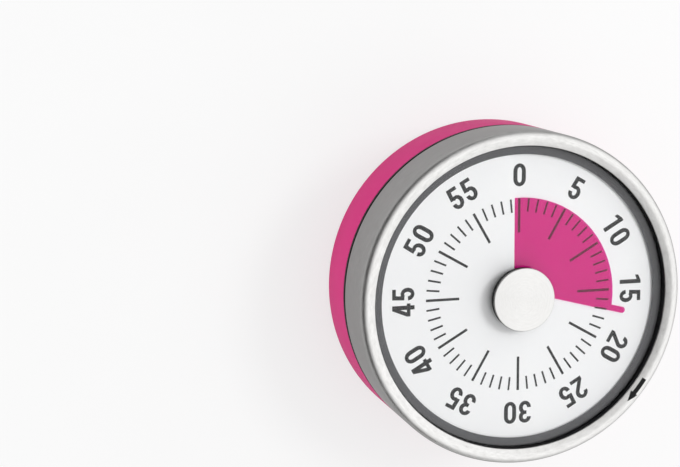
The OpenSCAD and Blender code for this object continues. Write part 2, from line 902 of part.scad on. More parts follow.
module lens_retainer() {
    color(black)
        ring(casing_in_r - slip, dial_ring_r + retainer_gap, lens_z - retainer_h, lens_z);
}

module knob_core() {
    color(black)
        difference() {
            union() {
                translate([0, 0, lens_top_z])
                    cylinder(r = core_r, h = core_h);
                translate([0, 0, lens_z])
                    cylinder(r = core_spigot_r, h = lens_t + core_h / 2);
            }
            translate([0, 0, lens_z - cut])
                cylinder(r = screw_r + slip, h = lens_t + core_h + 2 * cut);
            translate([0, 0, core_top - screw_head_h - head_gap])
                cylinder(r = screw_head_r + head_clear, h = screw_head_h + head_gap + cut);
        }
}

module knob_cap() {
    color(steel)
        rotate_extrude()
            difference() {
                union() {
                    translate([0, core_top])
                        square([knob_r, cap_t - cap_edge]);
                    translate([0, core_top])
                        square([knob_r - cap_edge, cap_t]);
                    translate([knob_r - cap_edge, core_top + cap_t - cap_edge])
                        circle(r = cap_edge);
                }
                translate([-2 * knob_r, core_top - cut])
                    square([2 * knob_r, cap_t + 2 * cut]);
            }
}

module knob_screw() {
    color(dark_steel)
        screw(core_top - screw_head_h - head_gap, knob_screw_len);
}

module main_arbor() {
    color(steel)
        difference() {
            union() {
                translate([0, 0, arbor_end_z])
                    cylinder(r = arbor_r, h = lens_z - arbor_end_z);
                translate([0, 0, rear_top + bush_over + slip])
                    cylinder(r = collar_r, h = collar_h);
                translate([0, 0, main_wheel_z - collar_h])
                    cylinder(r = collar_r, h = collar_h);
            }
            translate([arbor_flat, -arbor_r - cut, carrier_z])
                cube([arbor_r, 2 * (arbor_r + cut), lens_z - carrier_z + cut]);
            translate([0, 0, lens_z - knob_screw_len])
                cylinder(r = screw_r + slip, h = knob_screw_len + cut);
        }
}

module main_wheel() {
    color(brass)
        rotate(second_dir)
            train_wheel(main_teeth, main_module, main_wheel_z, arbor_r + slip);
}

module clutch_spring() {
    color(dark_steel)
        translate([0, 0, clutch_z])
            linear_extrude(clutch_spring_t)
                difference() {
                    union() {
                        circle(r = arbor_r + clutch_ring_w);
                        for (i = [0 : clutch_leaf_count - 1])
                            rotate(i * 360 / clutch_leaf_count)
                                bar([0, 0], [arbor_r + clutch_leaf_len, 0], clutch_leaf_w);
                    }
                    circle(r = arbor_r + slip);
                }
}

module clutch_collar() {
    color(dark_steel)
        ring(arbor_r + clutch_collar_w, arbor_r + slip, clutch_z + clutch_spring_t, cam_z);
}

module strike_cam() {
    color(brass)
        translate([0, 0, cam_z])
            linear_extrude(cam_h)
                difference() {
                    circle(r = cam_r);
                    circle(r = arbor_r + slip);
                    rotate(tail_dir + rest_angle)
                        translate([cam_r - cam_notch_depth, -cam_notch_w / 2])
                            square([cam_r, cam_notch_w]);
                }
}

module disc_hub() {
    color(black)
        translate([0, 0, hub_z])
            difference() {
                cylinder(r = hub_r, h = hub_h);
                difference() {
                    translate([0, 0, -cut])
                        cylinder(r = arbor_r + slip, h = hub_h + 2 * cut);
                    translate([arbor_flat + slip, -arbor_r - cut, -2 * cut])
                        cube([arbor_r, 2 * (arbor_r + cut), hub_h + 4 * cut]);
                }
            }
}

module colour_disc() {
    span = 360 - film_seam;
    rows = [for (r = [film_hole_r, film_r]) [r, rest_angle - asin(slit_offset / r) - span]];
    tip = [slit_offset + pointer_w / 2, pointer_r - pointer_w / 2];
    tip_z = film_z + disc_pitch * (rest_angle - asin(tip[0] / tip[1])) / 360;
    color(film_pink) {
        climbing_sheet(rows, span, film_z, film_t);
        translate([0, 0, tip_z - film_t / 2])
            linear_extrude(film_t)
                rotate(-rest_angle)
                    bar([-tip[0], film_r - pointer_root], [-tip[0], tip[1]], pointer_w);
    }
}

module second_wheel() {
    color(brass)
        translate(second_pos)
            rotate(third_dir)
                train_wheel(train_teeth, train_module, second_wheel_z, wheel_arbor_r + press);
}

module second_pinion() {
    color(dark_steel)
        translate(second_pos)
            pinion_arbor(main_module, main_wheel_z, second_dir);
}

module third_wheel() {
    color(brass)
        translate(third_pos)
            rotate(escape_dir)
                train_wheel(train_teeth, train_module, third_wheel_z, wheel_arbor_r + press);
}

module third_pinion() {
    color(dark_steel)
        translate(third_pos)
            pinion_arbor(train_module, second_wheel_z, third_dir);
}

module escape_wheel() {
    step = 360 / escape_teeth;
    color(brass)
        translate(concat(escape_pos, escape_wheel_z))
            linear_extrude(wheel_t)
                difference() {
                    polygon([for (i = [0 : escape_teeth - 1], p = [
                        [escape_r - escape_tooth, 0],
                        [escape_r, escape_lead * step],
                        [escape_r, (escape_lead + escape_land) * step],
                        [escape_r - escape_tooth, (escape_lead + escape_land + escape_back) * step]
                    ]) polar(p[0], i * step + p[1])]);
                    circle(r = wheel_arbor_r + press);
                    for (i = [0 : escape_window_count - 1])
                        translate(polar(escape_window_ring_r, i * 360 / escape_window_count))
                            circle(r = escape_window_r);
                }
}

module escape_pinion() {
    color(dark_steel)
        translate(escape_pos)
            pinion_arbor(train_module, third_wheel_z, escape_dir);
}

module pallet_lever() {
    color(brass)
        translate([0, 0, pallet_z])
            linear_extrude(pallet_t)
                difference() {
                    union() {
                        translate(pallet_pos)
                            circle(r = wheel_arbor_r + boss_w);
                        for (p = pallet_pin_places)
                            bar(pallet_pos, p, pallet_arm_w);
                        bar(pallet_pos, pallet_pos + polar(fork_len, fork_dir), fork_w);
                        for (s = [-1, 1])
                            bar(
                                pallet_pos + polar(fork_len, fork_dir),
                                pallet_pos + polar(fork_len + fork_prong, fork_dir + s * fork_spread), prong_w
                            );
                    }
                    translate(pallet_pos)
                        circle(r = wheel_arbor_r + press);
                    for (p = pallet_pin_places)
                        translate(p)
                            circle(r = pin_r + press);
                }
}

module pallet_arbor() {
    color(dark_steel)
        translate(pallet_pos)
            wheel_arbor();
}

module pallet_pins() {
    color(steel)
        for (p = pallet_pin_places)
            translate(concat(p, pallet_z))
                cylinder(r = pin_r, h = escape_wheel_z + wheel_t + pin_over - pallet_z);
}

module balance_wheel() {
    color(brass)
        translate(concat(balance_pos, balance_z))
            linear_extrude(wheel_t)
                difference() {
                    union() {
                        difference() {
                            circle(r = balance_r);
                            circle(r = balance_r - balance_rim_w);
                        }
                        circle(r = wheel_arbor_r + boss_w);
                        rotate(fork_dir + 90)
                            bar([-balance_arm, 0], [balance_arm, 0], balance_arm_w);
                    }
                    circle(r = wheel_arbor_r + press);
                }
}

module balance_staff() {
    color(dark_steel)
        translate(balance_pos) {
            wheel_arbor();
            translate([0, 0, roller_z])
                cylinder(r = roller_r, h = roller_t);
            translate(concat(polar(roller_r - impulse_pin_in, fork_dir + 180), roller_z))
                cylinder(r = impulse_pin_r, h = roller_t + impulse_pin_h);
        }
}

module hammer_lever() {
    color(dark_steel)
        translate([0, 0, hammer_arm_z])
            linear_extrude(hammer_arm_t)
                difference() {
                    union() {
                        translate(hammer_pos)
                            circle(r = wheel_arbor_r + boss_w);
                        bar(hammer_pos, hammer_head_pos, hammer_arm_w);
                    }
                    translate(hammer_pos)
                        circle(r = wheel_arbor_r + press);
                    translate(hammer_head_pos)
                        circle(r = hammer_stem_r + press);
                }
}

module hammer_tail() {
    color(dark_steel)
        translate([0, 0, tail_z])
            linear_extrude(tail_t)
                difference() {
                    union() {
                        translate(hammer_pos)
                            circle(r = wheel_arbor_r + boss_w);
                        bar(hammer_pos, tail_tip, tail_w);
                    }
                    translate(hammer_pos)
                        circle(r = wheel_arbor_r + press);
                }
}

module hammer_arbor() {
    color(dark_steel)
        translate(hammer_pos)
            wheel_arbor();
}

module hammer_head() {
    color(steel)
        translate(concat(hammer_head_pos, 0)) {
            translate([0, 0, hammer_head_z])
                cylinder(r = hammer_head_r, h = hammer_head_h);
            translate([0, 0, hammer_head_z])
                cylinder(r = hammer_stem_r, h = hammer_arm_z + hammer_arm_t - hammer_head_z);
        }
}

base_cover();
magnets();
bell();
bell_screw();
rear_plate();
front_plate();
plate_pillars();
pillar_screws();
plate_screws();
rear_bush();
front_bush();
dial_carrier();
carrier_screws();
dial_ring();
dial();
spring_stud();
mainspring();
hairspring();
hairspring_stud();
hammer_spring();
casing();
lens();
lens_retainer();
knob_core();
knob_cap();
knob_screw();
main_arbor();
main_wheel();
clutch_spring();
clutch_collar();
strike_cam();
disc_hub();
colour_disc();
second_wheel();
second_pinion();
third_wheel();
third_pinion();
escape_wheel();
escape_pinion();
pallet_lever();
pallet_arbor();
pallet_pins();
balance_wheel();
balance_staff();
hammer_lever();
hammer_tail();
hammer_arbor();
hammer_head();
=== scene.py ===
import json
import math

import bmesh
import bpy
from mathutils import Matrix, Vector
from mathutils.geometry import tessellate_polygon


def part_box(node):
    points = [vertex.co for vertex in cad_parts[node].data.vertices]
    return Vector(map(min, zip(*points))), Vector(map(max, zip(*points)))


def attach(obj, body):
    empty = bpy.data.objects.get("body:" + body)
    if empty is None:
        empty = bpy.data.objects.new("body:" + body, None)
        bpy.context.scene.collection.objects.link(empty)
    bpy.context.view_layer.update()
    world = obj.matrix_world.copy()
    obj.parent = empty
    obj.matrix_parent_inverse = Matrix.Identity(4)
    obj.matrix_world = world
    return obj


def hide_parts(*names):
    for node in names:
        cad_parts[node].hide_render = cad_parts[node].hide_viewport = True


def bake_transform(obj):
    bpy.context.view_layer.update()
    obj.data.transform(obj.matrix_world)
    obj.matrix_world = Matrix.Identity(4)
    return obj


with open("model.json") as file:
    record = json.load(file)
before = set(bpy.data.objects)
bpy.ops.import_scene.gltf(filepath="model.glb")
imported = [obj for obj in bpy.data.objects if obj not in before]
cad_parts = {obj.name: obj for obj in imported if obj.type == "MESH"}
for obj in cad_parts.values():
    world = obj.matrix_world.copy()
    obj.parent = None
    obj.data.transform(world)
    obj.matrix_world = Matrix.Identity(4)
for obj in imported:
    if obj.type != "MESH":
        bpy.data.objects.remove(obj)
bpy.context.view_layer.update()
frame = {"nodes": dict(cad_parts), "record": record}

MM = 0.001

# The photograph's frame: its size, the pixel of the dial's centre and the scale there
PHOTO_W = 680
PHOTO_H = 467
DIAL_CENTRE_PX = (518.83, 296.95)
PX_PER_MM = 4.206
# The camera's distance, and the turn from the timer's axes to the camera's, along its axis in radians
CAMERA_DISTANCE = 406 * MM
CAMERA_TURN = Vector((0.1639, 0.2630, 0.0312))
SENSOR_W = 36.0

# Sizes that the frame gives
BASE_LOW, BASE_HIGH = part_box("base_cover")
CASING_LOW, CASING_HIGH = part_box("casing")
CAP_LOW, CAP_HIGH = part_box("knob_cap")
MAGNET_LOW, MAGNET_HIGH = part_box("magnets")
DIAL_LOW, DIAL_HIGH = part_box("dial")
BODY_R = CASING_HIGH.x
CAP_R = CAP_HIGH.x
LENS_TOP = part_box("lens")[1].z
DIAL_RING_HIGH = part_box("dial_ring")[1]
REAR_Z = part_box("rear_plate")[0].z
BELL_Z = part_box("bell")[0].z

# Sizes of the casing and the base, as in the solids
STEEL_T = 0.5 * MM
SHOULDER_R = 1.6 * MM
BEZEL_W = 3.54 * MM
HEM_W = 0.8 * MM
LIP_H = 1.23 * MM
RING_GAP = 1.2 * MM
SPIGOT_CLEAR = 0.3 * MM
BASE_WALL = 2.0 * MM
BASE_FLOOR = 2.4 * MM
BASE_EDGE = 1.2 * MM
MAGNET_R = 6.0 * MM
MAGNET_RING_R = 29.5 * MM
MAGNET_SLIP = 0.05 * MM
MAGNET_ANGLES = (90, 210, 330)
PAD_WALL = 1.5 * MM
PAD_SKIN = 1.2 * MM
POST_R = 3.0 * MM
POST_RING_R = 30.5 * MM
POST_ANGLES = (30, 150, 270)
POST_HOLE = 5.0 * MM
BELL_BOSS_R = 4.0 * MM
BELL_HOLE = 2.6 * MM
SCREW_HOLE_R = 1.05 * MM
SLOT_W = 1.6 * MM
SLOT_LEN = 7.0 * MM
SLOT_START_R = 9.0 * MM
SLOT_COUNT = 12

# Thin black plastic beside the solids, that paints the shade of gaps: sleeve, washer, skirt and gasket
SLEEVE_T = 0.15 * MM
SHADE_WASHER_T = 0.35 * MM
SHADE_WASHER_DROP = 0.45 * MM
SHADE_WASHER_IN = 0.05 * MM
SHADE_SKIRT_W = 0.45 * MM
SHADE_SKIRT_T = 0.3 * MM
SHADE_SKIRT_DROP = 0.1 * MM
SHADE_GASKET_T = 0.15 * MM
SHADE_GASKET_DROP = 0.3 * MM
SINK = 0.02 * MM

# Where the base's wall ends below the washer that paints the gap's shade, and the radii of its spigot and
# its inside
WALL_TOP = CASING_LOW.z - RING_GAP - SHADE_WASHER_DROP
SPIGOT_R = BODY_R - STEEL_T - SPIGOT_CLEAR
INSIDE_R = BODY_R - BASE_WALL

# How far the edges of the new pieces are eased
SLOT_CHAMFER = 0.25 * MM
BASE_TOP_EDGE = 0.15 * MM
SPIGOT_EDGE = 0.15 * MM
SHADE_WASHER_EDGE = 0.05 * MM
SLEEVE_EDGE = 0.08 * MM
MAGNET_EDGE = 0.3 * MM
CASING_FOOT_EDGE = 0.12 * MM
CASING_INNER_EDGE = 0.1 * MM
BEZEL_EDGE = 0.22 * MM
LIP_EDGE = 0.1 * MM
LIP_ROOT_EDGE = 0.15 * MM
SHADE_GASKET_EDGE = 0.1 * MM
SHADE_SKIRT_EDGE = 0.05 * MM
CAP_FOOT_EDGE = 0.08 * MM
CAP_RIM_EDGE = 0.25 * MM

# The dial climbs once round, from the slit in it, and its print follows it
DIAL_T = 0.25 * MM
DIAL_HOLE_R = 5.6 * MM
SLIT_OFFSET = 1.5 * MM
DISC_PITCH = 0.7 * MM
PRINT_UP = 0.02 * MM
PRINT_DOWN = 0.015 * MM
TICK_OUT_R = 23.2 * MM
LONG_TICK_R = 15.0 * MM
SHORT_TICK_R = 20.0 * MM
LONG_TICK_W = 0.62 * MM
SHORT_TICK_W = 0.45 * MM
DIGIT_H = 5.45 * MM
DIGIT_W = 3.1 * MM
DIGIT_GAP = 0.7 * MM
DIGIT_R = 26.0 * MM
STEM = 1.0 * MM
BAR = 0.88 * MM
# The print sits a little off the dial's centre, and is turned by a part of a degree
PRINT_X = -0.17 * MM
PRINT_Y = 0.55 * MM
PRINT_TURN = 0.2
MINUTES = 60
LABEL_STEP = 5

# The arrow printed on the bezel, measured clockwise from 0 minutes
ARROW_R = 37.88 * MM
ARROW_TAIL = 124.5
ARROW_HEAD = 130.9
ARROW_TIP = 134.9
ARROW_SHAFT_W = 1.0 * MM
ARROW_HEAD_W = 1.9 * MM
ARROW_TIP_W = 0.04 * MM
ARROW_STEPS = 8
ARROW_ACROSS = 12

# The hammer's leaf spring, whose collar sits on a pillar of the movement
LEAF_PILLAR_R = 24.0 * MM
LEAF_PILLAR_ANGLE = 100
LEAF_STEPS = 12
WELD = 0.001 * MM

# How finely round shapes are cut
ROUND_STEPS = 240
SMALL_STEPS = 64
ARC_STEPS = 6
EDGE_STEPS = 8
CASING_STEPS = 10
DIGIT_STEPS = 10
SHARP_ANGLE = math.radians(32)


def turned(radius, clockwise):
    """The point at a radius and an angle in degrees, clockwise from +Y as seen from the front."""
    angle = math.radians(clockwise)
    return radius * math.sin(angle), radius * math.cos(angle)


def circle(radius, z, centre=(0.0, 0.0), steps=ROUND_STEPS):
    """The points of a circle that lies flat, counter-clockwise seen from +Z."""
    angles = [2 * math.pi * i / steps for i in range(steps)]
    return [(centre[0] + radius * math.cos(a), centre[1] + radius * math.sin(a), z) for a in angles]


def arc(x, y, radius_x, radius_y, start, end, steps=DIGIT_STEPS):
    """Points along an arc of an ellipse between two angles in degrees, both ends included."""
    angles = [math.radians(start + (end - start) * i / steps) for i in range(steps + 1)]
    return [(x + radius_x * math.cos(a), y + radius_y * math.sin(a)) for a in angles]


def rounded(corners, steps=ARC_STEPS):
    """A closed outline from (x, y, radius) corners, each rounded by its own radius."""
    points = []
    for i, (x, y, radius) in enumerate(corners):
        corner = Vector((x, y))
        if radius == 0:
            points.append((x, y))
            continue
        back = (Vector(corners[i - 1][:2]) - corner).normalized()
        ahead = (Vector(corners[(i + 1) % len(corners)][:2]) - corner).normalized()
        half = back.angle(ahead) / 2
        centre = corner + (back + ahead).normalized() * radius / math.sin(half)
        first = corner + back * radius / math.tan(half) - centre
        last = corner + ahead * radius / math.tan(half) - centre
        start = math.atan2(first.y, first.x)
        sweep = (math.atan2(last.y, last.x) - start + math.pi) % (2 * math.pi) - math.pi
        points += arc(centre.x, centre.y, radius, radius,
                      math.degrees(start), math.degrees(start + sweep), steps)
    return points


class Shell:
    """A mesh made of closed loops of points, bridged to each other or filled."""

    def __init__(self):
        self.points = []
        self.faces = []

    def loop(self, points):
        """Adds a loop of points, and returns their numbers."""
        first = len(self.points)
        self.points += [tuple(p) for p in points]
        return list(range(first, len(self.points)))

    def point(self, place, count):
        """One point that stands for a whole loop, as where a lathe meets its axis."""
        return self.loop([place]) * count

    def bridge(self, low, high):
        """Adds the faces between two loops of one count."""
        for i in range(len(low)):
            j = (i + 1) % len(low)
            corners = list(dict.fromkeys((low[i], low[j], high[j], high[i])))
            if len(corners) > 2:
                self.faces.append(corners)

    def fill(self, loops, up):
        """Fills the first loop, less the others, with triangles that face up or down."""
        flat = [i for loop in loops for i in loop]
        outlines = [[Vector((self.points[i][0], self.points[i][1], 0)) for i in loop] for loop in loops]
        for triangle in tessellate_polygon(outlines):
            a, b, c = (Vector(self.points[flat[i]]) for i in triangle)
            corners = [flat[i] for i in triangle]
            faces_up = (b - a).cross(c - a).z > 0
            self.faces.append(corners if faces_up == up else corners[::-1])

    def done(self, name):
        """Makes the object, smooth apart from its sharp edges."""
        mesh = bpy.data.meshes.new(name)
        mesh.from_pydata(self.points, [], self.faces)
        mesh.validate()
        mesh.shade_smooth()
        mesh.set_sharp_from_angle(angle=SHARP_ANGLE)
        piece = bpy.data.objects.new(name, mesh)
        bpy.context.scene.collection.objects.link(piece)
        return piece


def lathe(shell, profile, centre=(0.0, 0.0), steps=ROUND_STEPS, closed=True):
    """Turns a profile of (radius, z) points, counter-clockwise, about an upright axis."""
    rings = []
    for radius, z in profile:
        if radius == 0:
            rings.append(shell.point((centre[0], centre[1], z), steps))
        else:
            rings.append(shell.loop(circle(radius, z, centre, steps)))
    for low, high in zip(rings, rings[1:]):
        shell.bridge(low, high)
    if closed:
        shell.bridge(rings[-1], rings[0])
    return rings


def prism(shell, loops, place):
    """A thin closed piece of print: flat (x, y) loops, the first outside, put on a surface by place."""
    below = [shell.loop([place(x, y, -PRINT_DOWN) for x, y in loop]) for loop in loops]
    above = [shell.loop([place(x, y, PRINT_UP) for x, y in loop]) for loop in loops]
    shell.fill(above, True)
    shell.fill(below, False)
    for low, high in zip(below, above):
        shell.bridge(low, high)


def counter_clockwise(loop):
    """The loop in counter-clockwise order."""
    area = sum(a[0] * b[1] - b[0] * a[1] for a, b in zip(loop, loop[1:] + loop[:1]))
    return loop if area > 0 else loop[::-1]


# Materials

# The lens has a coating against glare, so it reflects as a lower index would
LENS_IOR = 1.33
LENS_TINT = (0.985, 0.99, 0.99, 1)
# What the lens lets through of the light and shadow that fall on the dial
LENS_PASS = (0.955, 0.955, 0.955, 1)
# The film: its own colour, what it lets through, and the share of its own colour
FILM_DARK = (0.56, 0.04, 0.18)
FILM_LIGHT = (0.64, 0.06, 0.22)
FILM_PASS = (0.95, 0.25, 0.74, 1)
FILM_SHARE = 0.12
PLASTIC_IOR = 1.49
# The part of a noise's range that colours and numbers follow
NOISE_LOW = 0.25
NOISE_HIGH = 0.75
# Scales of the noise for slow changes over a surface
PLASTIC_CLOUD = 60
METAL_CLOUD = 150
FILM_CLOUD = 120
LENS_SMEAR = 90
FLOOR_MOTTLE = 30
# How far the roughness strays either way, and the bump of grain and of tool marks
PLASTIC_STRAY = 0.05
METAL_STRAY = 0.06
GRAIN_STRENGTH = 0.5
MARK_STRENGTH = 0.3
MARK_DEPTH = 0.003 * MM
# Brushed steel: its shader, its roughness, the painted shade that darkens its walls, and the tilt over
# which that painted shade ends
STEEL_SHADER = {
    "Metallic": 1.0,
    "Specular Tint": (0.65, 0.65, 0.65, 1),
    "Anisotropic": 0.6,
    "Anisotropic Rotation": 0.25,
}
STEEL_ROUGHNESS = {"low": 0.27, "high": 0.38}
STEEL_WALL_PAINTED_SHADE = 0.55
STEEL_PAINTED_SHADE_END = {"From Min": 0.55, "From Max": 0.8}


class Finish:
    """A material with one Principled shader, and short ways to add the nodes that vary it."""

    def __init__(self, name, settings):
        self.material = bpy.data.materials.new(name)
        self.material.use_nodes = True
        self.nodes = self.material.node_tree.nodes
        self.links = self.material.node_tree.links
        self.shader = self.nodes["Principled BSDF"]
        self.output = self.nodes["Material Output"]
        self.put(self.shader, settings)
        place = self.add("ShaderNodeTexCoord")
        self.coordinates = place.outputs["Object"]
        self.normal = place.outputs["Normal"]

    def put(self, node, settings):
        """Sets a node's sockets by name, each to a value or from another node's socket."""
        for socket, value in settings.items():
            if isinstance(value, bpy.types.NodeSocket):
                self.links.new(value, node.inputs[socket])
            else:
                node.inputs[socket].default_value = value

    def add(self, kind, settings=None, **options):
        """Adds a node, with its options and its sockets."""
        node = self.nodes.new(kind)
        for option, value in options.items():
            setattr(node, option, value)
        self.put(node, settings or {})
        return node

    def stretched(self, scale):
        """Object coordinates scaled along X, Y and Z."""
        return self.add("ShaderNodeMapping", {"Vector": self.coordinates, "Scale": scale}).outputs["Vector"]

    def noise(self, vector, scale, detail=2.0, roughness=0.55):
        """A noise texture's factor at a vector."""
        node = self.add("ShaderNodeTexNoise", {
            "Vector": vector, "Scale": scale, "Detail": detail, "Roughness": roughness})
        return node.outputs["Fac"]

    def between(self, factor, low, high):
        """A number that follows the factor's middle part from low to high."""
        node = self.add("ShaderNodeMapRange", {
            "Value": factor, "From Min": NOISE_LOW, "From Max": NOISE_HIGH, "To Min": low, "To Max": high})
        return node.outputs["Result"]

    def colours(self, factor, low, high):
        """A colour that follows the factor's middle part from low to high."""
        node = self.add("ShaderNodeValToRGB", {"Fac": factor})
        ramp = node.color_ramp.elements
        ramp[0].position = NOISE_LOW
        ramp[0].color = (*low, 1)
        ramp[1].position = NOISE_HIGH
        ramp[1].color = (*high, 1)
        return node.outputs["Color"]

    def bump(self, height, distance, strength):
        """Gives the shader a bump that follows a height."""
        node = self.add("ShaderNodeBump", {"Height": height, "Distance": distance, "Strength": strength})
        self.put(self.shader, {"Normal": node.outputs["Normal"]})

    def round_brush(self, turns, rows):
        """Coordinates for marks that run round the Z axis: long round it, fine across it."""
        flat = self.add("ShaderNodeVectorMath", {0: self.coordinates, 1: (1, 1, 0)}, operation="MULTIPLY")
        around = self.add("ShaderNodeVectorMath", {0: flat.outputs[0]}, operation="NORMALIZE")
        spun = self.add("ShaderNodeVectorMath", {0: around.outputs[0], "Scale": turns}, operation="SCALE")
        out = self.add("ShaderNodeVectorMath", {0: flat.outputs[0]}, operation="LENGTH")
        height = self.add("ShaderNodeSeparateXYZ", {"Vector": self.coordinates})
        across = self.add("ShaderNodeMath", {
            0: height.outputs["Z"], 1: out.outputs["Value"]}, operation="SUBTRACT")
        fine = self.add("ShaderNodeMath", {0: across.outputs[0], 1: rows}, operation="MULTIPLY")
        rise = self.add("ShaderNodeCombineXYZ", {"Z": fine.outputs[0]})
        both = self.add("ShaderNodeVectorMath", {0: spun.outputs[0], 1: rise.outputs[0]}, operation="ADD")
        return both.outputs[0]


def moulded(name, dark, light, roughness, grain, depth, shine=0.5):
    """Moulded plastic: a fine texture, a slow change of colour and an uneven gloss."""
    finish = Finish(name, {"IOR": PLASTIC_IOR, "Specular IOR Level": shine})
    slow = finish.noise(finish.coordinates, PLASTIC_CLOUD)
    fine = finish.noise(finish.coordinates, grain)
    finish.put(finish.shader, {
        "Base Color": finish.colours(slow, dark, light),
        "Roughness": finish.between(fine, roughness - PLASTIC_STRAY, roughness + PLASTIC_STRAY)})
    finish.bump(fine, depth, GRAIN_STRENGTH)
    return finish


def brushed(name, dark, light, turns, rows):
    """Steel brushed round the timer's axis, darker on its walls by painted shade, blurred across the
    brushing.
    """
    finish = Finish(name, STEEL_SHADER)
    marks = finish.noise(finish.round_brush(turns, rows), scale=1.0, detail=4.0, roughness=0.65)
    # Painted shade: the colour is scaled down where the surface faces sideways, on walls, rims and the
    # knob's side
    facing = finish.add("ShaderNodeSeparateXYZ", {"Vector": finish.normal})
    painted_shade = finish.add("ShaderNodeMapRange", {
        "Value": facing.outputs["Z"], **STEEL_PAINTED_SHADE_END, "To Min": STEEL_WALL_PAINTED_SHADE, "To Max": 1.0})
    colour = finish.add("ShaderNodeVectorMath", {
        0: finish.colours(marks, dark, light), "Scale": painted_shade.outputs["Result"]}, operation="SCALE")
    finish.put(finish.shader, {
        "Base Color": colour.outputs[0],
        "Roughness": finish.between(marks, **STEEL_ROUGHNESS)})
    tangent = finish.add("ShaderNodeTangent", direction_type="RADIAL", axis="Z")
    finish.put(finish.shader, {"Tangent": tangent.outputs["Tangent"]})
    finish.bump(marks, MARK_DEPTH, MARK_STRENGTH)
    return finish


def machined(name, dark, light, roughness, grain, stretch):
    """Metal of the movement: turned or drawn marks along one direction, and a slow change of tone."""
    finish = Finish(name, {"Metallic": 1.0})
    marks = finish.noise(finish.stretched(stretch), grain, detail=3.0)
    slow = finish.noise(finish.coordinates, METAL_CLOUD)
    finish.put(finish.shader, {
        "Base Color": finish.colours(slow, dark, light),
        "Roughness": finish.between(marks, roughness - METAL_STRAY, roughness + METAL_STRAY)})
    finish.bump(marks, MARK_DEPTH, MARK_STRENGTH)
    return finish


def clear_lens():
    """Coated acrylic: it mirrors a little, and lets light and shadow straight through to the dial."""
    finish = Finish("lens_clear", {"Base Color": LENS_TINT, "Transmission Weight": 1.0, "IOR": LENS_IOR})
    smear = finish.noise(finish.coordinates, LENS_SMEAR)
    finish.put(finish.shader, {"Roughness": finish.between(smear, low=0.0, high=0.02)})
    path = finish.add("ShaderNodeLightPath")
    lit = finish.add("ShaderNodeMath", {
        0: path.outputs["Is Shadow Ray"], 1: path.outputs["Is Diffuse Ray"]}, operation="MAXIMUM")
    through = finish.add("ShaderNodeBsdfTransparent", {"Color": LENS_PASS})
    mix = finish.add("ShaderNodeMixShader", {
        "Fac": lit.outputs[0], 1: finish.shader.outputs["BSDF"], 2: through.outputs["BSDF"]})
    finish.put(finish.output, {"Surface": mix.outputs["Shader"]})
    return finish


def tinted_film():
    """Translucent film: most of its colour comes from what shines through it."""
    finish = Finish("disc_pink", {"IOR": PLASTIC_IOR, "Specular IOR Level": 0.15})
    cloud = finish.noise(finish.coordinates, FILM_CLOUD)
    finish.put(finish.shader, {
        "Base Color": finish.colours(cloud, FILM_DARK, FILM_LIGHT),
        "Roughness": finish.between(cloud, low=0.25, high=0.35)})
    through = finish.add("ShaderNodeBsdfTransparent", {"Color": FILM_PASS})
    mix = finish.add("ShaderNodeMixShader", {
        "Fac": FILM_SHARE, 1: through.outputs["BSDF"], 2: finish.shader.outputs["BSDF"]})
    finish.put(finish.output, {"Surface": mix.outputs["Shader"]})
    return finish


EVEN = (1, 1, 1)
FINISHES = {
    "base_pink": moulded(
        "base_pink", (0.64, 0.038, 0.205), (0.68, 0.045, 0.225),
        roughness=0.5, grain=9000, depth=0.004 * MM, shine=0.05),
    "disc_pink": tinted_film(),
    "casing_steel": brushed(
        "casing_steel", (0.58, 0.575, 0.565), (0.80, 0.795, 0.785), turns=18, rows=2200),
    "cap_steel": brushed(
        "cap_steel", (0.65, 0.645, 0.635), (0.74, 0.735, 0.725), turns=3, rows=3000),
    "lens_clear": clear_lens(),
    "dial_white": moulded(
        "dial_white", (0.87, 0.87, 0.88), (0.90, 0.90, 0.905),
        roughness=0.5, grain=12000, depth=0.002 * MM),
    "ring_grey": moulded(
        "ring_grey", (0.070, 0.070, 0.075), (0.084, 0.084, 0.090),
        roughness=0.5, grain=12000, depth=0.003 * MM, shine=0.15),
    "black_plastic": moulded(
        "black_plastic", (0.008, 0.008, 0.009), (0.013, 0.013, 0.014),
        roughness=0.5, grain=9000, depth=0.004 * MM, shine=0.15),
    "brass": machined(
        "brass", (0.72, 0.50, 0.20), (0.80, 0.58, 0.25),
        roughness=0.28, grain=300, stretch=(1, 14, 14)),
    "polished_steel": machined(
        "polished_steel", (0.60, 0.60, 0.60), (0.70, 0.70, 0.69),
        roughness=0.2, grain=400, stretch=(1, 10, 10)),
    "screw_steel": machined(
        "screw_steel", (0.48, 0.48, 0.48), (0.58, 0.58, 0.57),
        roughness=0.3, grain=900, stretch=(1, 1, 8)),
    "spring_steel": machined(
        "spring_steel", (0.34, 0.37, 0.43), (0.42, 0.44, 0.49),
        roughness=0.26, grain=500, stretch=(1, 1, 12)),
    "magnet_nickel": machined(
        "magnet_nickel", (0.66, 0.65, 0.62), (0.74, 0.73, 0.70),
        roughness=0.22, grain=1500, stretch=EVEN),
}


def coat(piece, slot, *nodes, finish=None):
    """Gives a new piece the finish of its slot, or another one, and hides the nodes it stands for."""
    piece.data.materials.append(FINISHES[finish or slot].material)
    if nodes:
        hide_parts(*nodes)


def dress(piece, body, slot, *nodes, finish=None):
    """Gives a new piece its finish, hangs it on the body it rides on, and hides the nodes it stands for."""
    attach(piece, body)
    coat(piece, slot, *nodes, finish=finish)


def dress_nodes():
    """Every node of the frame takes the finish of its slot in the record."""
    for part in frame["record"]["subparts"]:
        materials = frame["nodes"][part["node"]].data.materials
        finish = FINISHES[part["material_slot"]].material
        for i in range(len(materials)):
            materials[i] = finish


# The base and its magnets


